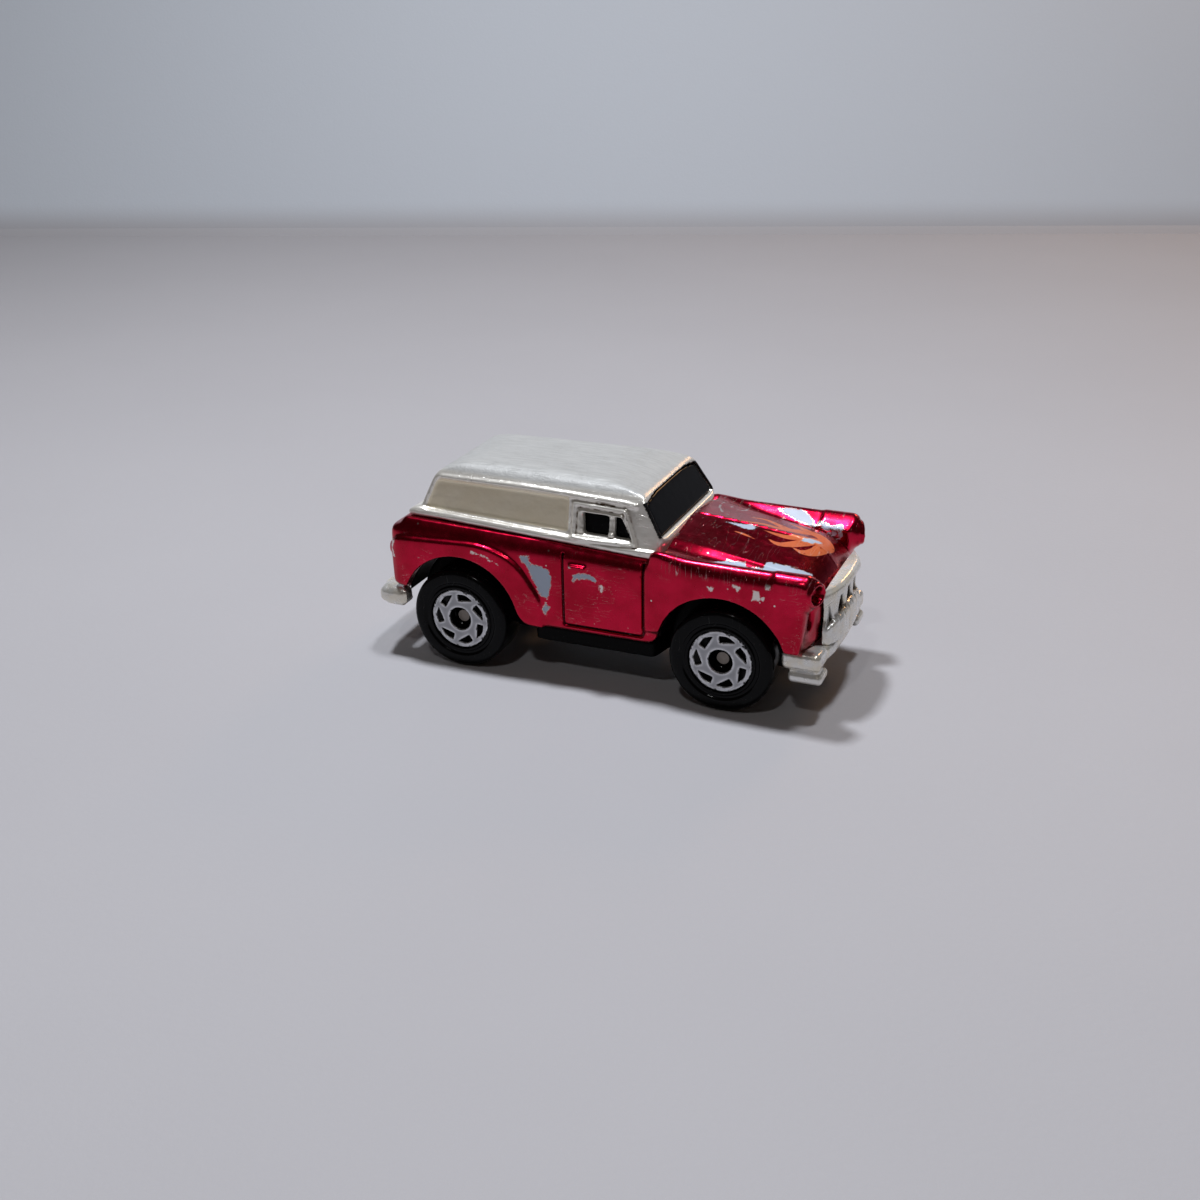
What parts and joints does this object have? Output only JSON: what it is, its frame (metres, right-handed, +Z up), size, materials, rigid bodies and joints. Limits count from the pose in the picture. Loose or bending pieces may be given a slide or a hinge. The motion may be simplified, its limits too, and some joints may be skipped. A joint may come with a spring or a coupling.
{
  "type": "toy sedan delivery car",
  "caption": "Micro-scale toy sedan-delivery car: two-tone bright plastic body and roof, toothed oval grille, wrap-round bumpers, black base, free-rolling wheel sets.",
  "frame": {"origin": "on the floor under the centre of the car's overall length and width", "axes": "+X to the front of the car, +Y to its left side, +Z up"},
  "size_m": [0.0356, 0.0144, 0.0154],
  "materials": {
    "red_body": "vacuum-metallised plastic under transparent crimson lacquer, worn and chipped",
    "silver_roof": "vacuum-metallised plastic under clear lacquer, finely scratched",
    "black_glazing": "glossy opaque black",
    "bright_trim": "vacuum-metallised plastic, slightly yellowed",
    "black_base": "moulded black plastic",
    "black_wheel": "glossy moulded black plastic",
    "wheel_foil": "hot-stamped silver foil, chipped at its rim",
    "axle_metal": "dull drawn wire",
    "rivet_metal": "dull"
  },
  "bodies": {
    "car": {"body_shell": "red_body", "roof_shell": "silver_roof", "window_insert": "black_glazing", "grille": "bright_trim", "front_bumper": "bright_trim", "rear_bumper": "bright_trim", "chassis": "black_base", "rear_rivet": "rivet_metal", "front_rivet": "rivet_metal", "rear_axle_keeper": "black_base", "front_axle_keeper": "black_base"},
    "rear_wheel_set": {"rear_axle": "axle_metal", "rear_right_wheel": "black_wheel", "rear_left_wheel": "black_wheel", "rear_right_wheel_face": "wheel_foil", "rear_left_wheel_face": "wheel_foil"},
    "front_wheel_set": {"front_axle": "axle_metal", "front_right_wheel": "black_wheel", "front_left_wheel": "black_wheel", "front_right_wheel_face": "wheel_foil", "front_left_wheel_face": "wheel_foil"}
  },
  "joints": [
    {"name": "rear_axle_spin", "type": "hinge", "parent": "car", "child": "rear_wheel_set", "pos_m": [-0.01015, 0, 0.00381], "axis": [0, 1, 0], "continuous": true},
    {"name": "front_axle_spin", "type": "hinge", "parent": "car", "child": "front_wheel_set", "pos_m": [0.01009, 0, 0.00381], "axis": [0, 1, 0], "continuous": true}
  ]
}
